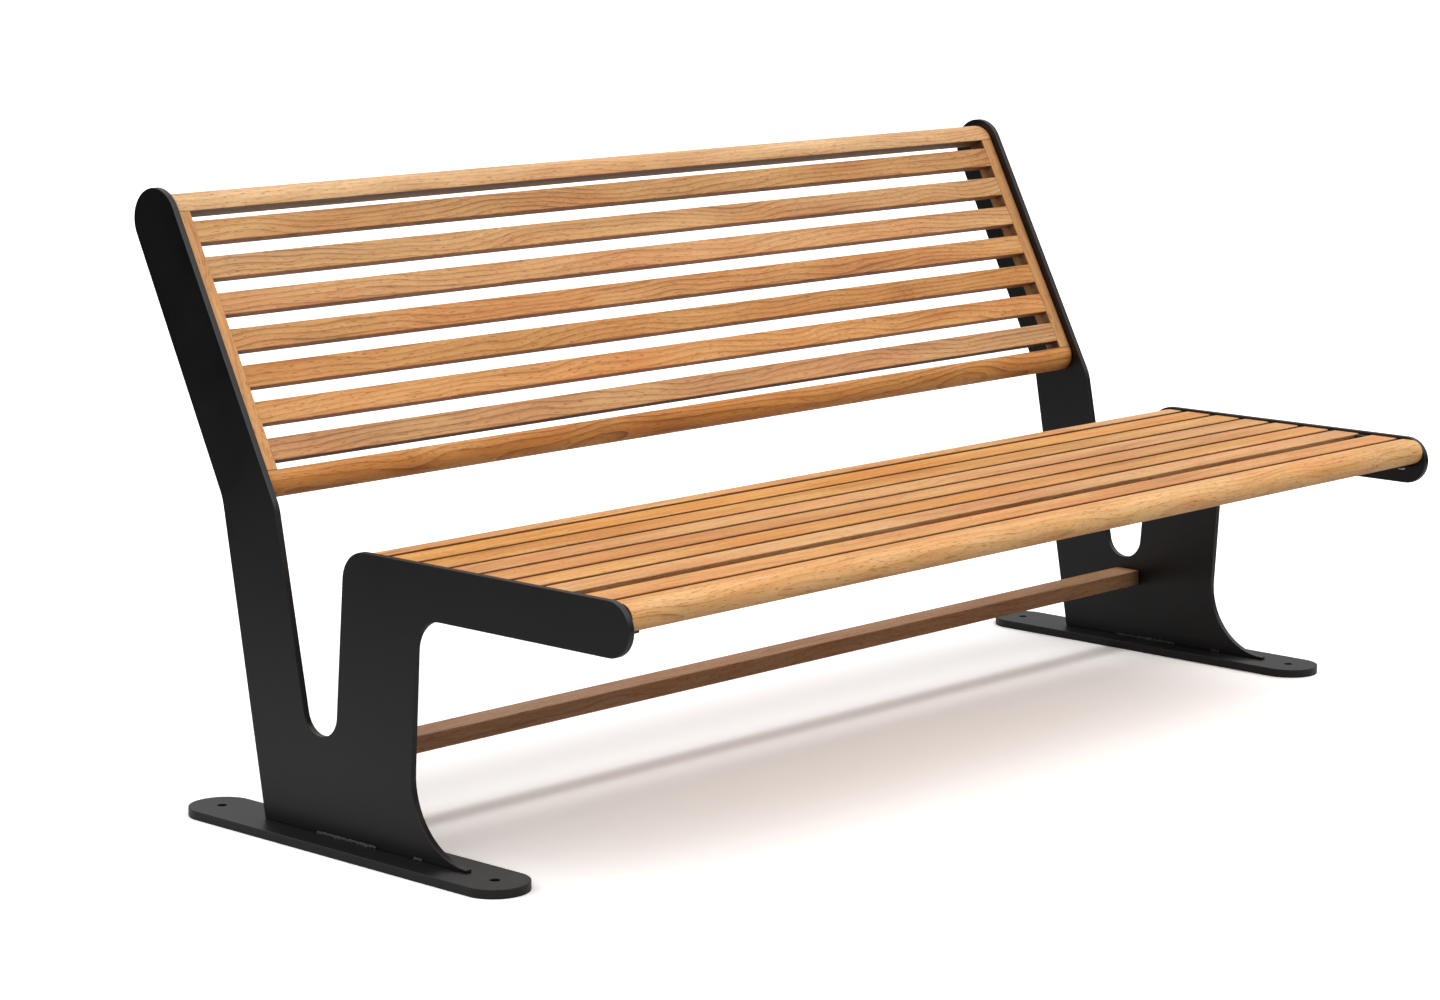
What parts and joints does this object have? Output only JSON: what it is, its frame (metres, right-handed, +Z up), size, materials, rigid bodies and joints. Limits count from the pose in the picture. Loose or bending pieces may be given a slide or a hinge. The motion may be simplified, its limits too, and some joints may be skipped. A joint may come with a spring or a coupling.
{
  "type": "park bench",
  "caption": "Slatted hardwood park bench with a backrest, on cut steel plate side frames with bolt-down foot plates and a low stretcher.",
  "frame": {"origin": "on the ground, in the middle of the bench's bounding box: half way between the side frames and half way between the seat nose and the back of the uprights", "axes": "+X along the bench to a sitter's left, +Y from the seat nose to the back, +Z up"},
  "size_m": [1.885, 0.9715, 0.875],
  "materials": {
    "black_steel": "satin black powder coat",
    "hardwood": "oiled hardwood",
    "dowel_wood": "plain beech",
    "fixings": "stainless screw",
    "spacer_plastic": "matt black moulding"
  },
  "bodies": {
    "root": {"side_frame_left": "black_steel", "side_frame_right": "black_steel", "foot_plate_left": "black_steel", "foot_plate_right": "black_steel", "welds_left": "black_steel", "welds_right": "black_steel", "seat_slat_rear": "hardwood", "seat_slat_nose": "hardwood", "seat_bearer_left": "black_steel", "seat_bearer_right": "black_steel", "seat_spacers_left": "spacer_plastic", "seat_spacers_right": "spacer_plastic", "seat_screws_left": "fixings", "seat_screws_right": "fixings", "back_top_rail": "hardwood", "back_bottom_rail": "hardwood", "back_stile_left": "hardwood", "back_stile_right": "hardwood", "back_frame_dowels": "dowel_wood", "back_angle_left": "black_steel", "back_angle_right": "black_steel", "back_screws_left": "fixings", "back_screws_right": "fixings", "stretcher": "hardwood", "stretcher_tongue_left": "black_steel", "stretcher_tongue_right": "black_steel", "stretcher_screws_left": "fixings", "stretcher_screws_right": "fixings", "seat_slat_1": "hardwood", "back_slat_1": "hardwood", "seat_slat_2": "hardwood", "back_slat_2": "hardwood", "seat_slat_3": "hardwood", "back_slat_3": "hardwood", "seat_slat_4": "hardwood", "back_slat_4": "hardwood", "seat_slat_5": "hardwood", "back_slat_5": "hardwood", "seat_slat_6": "hardwood", "back_slat_6": "hardwood", "seat_slat_7": "hardwood", "back_slat_7": "hardwood"}
  },
  "joints": []
}
